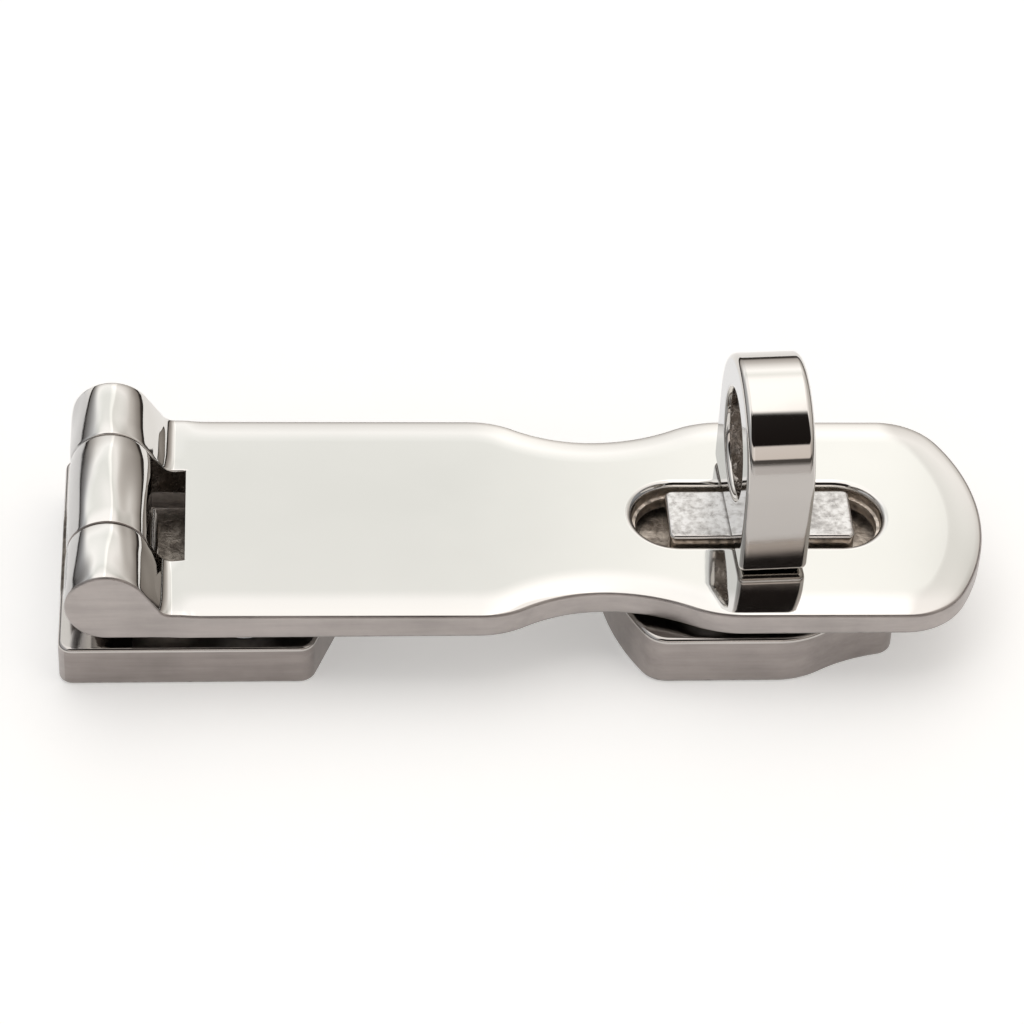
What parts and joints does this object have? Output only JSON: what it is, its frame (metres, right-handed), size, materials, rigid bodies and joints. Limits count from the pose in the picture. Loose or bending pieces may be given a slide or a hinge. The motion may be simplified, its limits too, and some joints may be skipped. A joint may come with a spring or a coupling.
{
  "type": "hasp and staple with swivel eye",
  "caption": "Cast stainless hasp: hinged slotted strap on a base leaf, over a staple base whose turning padlock eye stands across the slot to hold the strap shut.",
  "frame": {"origin": "centre of the bounding box's underside, on the mounting plane that both base plates rest on", "axes": "+X along the strap from the hinge towards the rounded tip, +Y across the strap, +Z away from the mounting plane"},
  "size_m": [0.0794, 0.025, 0.0239],
  "materials": {
    "strap_polished_steel": "cast stainless steel, mirror polished on top, satin on its edges",
    "leaf_satin_steel": "cast stainless steel, satin ground edges",
    "pin_steel": "turned stainless steel",
    "base_satin_steel": "cast stainless steel, satin ground edges, matte grained block",
    "eye_polished_steel": "cast stainless steel, mirror polished, rough cast inside the hole",
    "spring_steel": "stainless spring steel",
    "washer_steel": "stamped stainless steel",
    "nut_steel": "machined stainless steel"
  },
  "bodies": {
    "leaf": {"hinge_leaf": "leaf_satin_steel"},
    "strap": {"hasp_strap": "strap_polished_steel", "hinge_pin": "pin_steel"},
    "staple": {"staple_base": "base_satin_steel", "wave_washer": "spring_steel"},
    "eye": {"swivel_eye": "eye_polished_steel", "flat_washer": "washer_steel", "lock_nut": "nut_steel"}
  },
  "joints": [
    {"name": "strap_hinge", "type": "hinge", "parent": "leaf", "child": "strap", "pos_m": [-0.03542, 0, 0.00913], "axis": [0, -1, 0], "range_deg": [0, 170]},
    {"name": "staple_play", "type": "slide", "parent": "strap", "child": "staple", "axis": [0, 0, 1], "range_m": [-0.00015, 0.0004]},
    {"name": "eye_swivel", "type": "hinge", "parent": "staple", "child": "eye", "pos_m": [0.0204, 0, 0.00816], "axis": [0, 0, 1], "continuous": true}
  ]
}
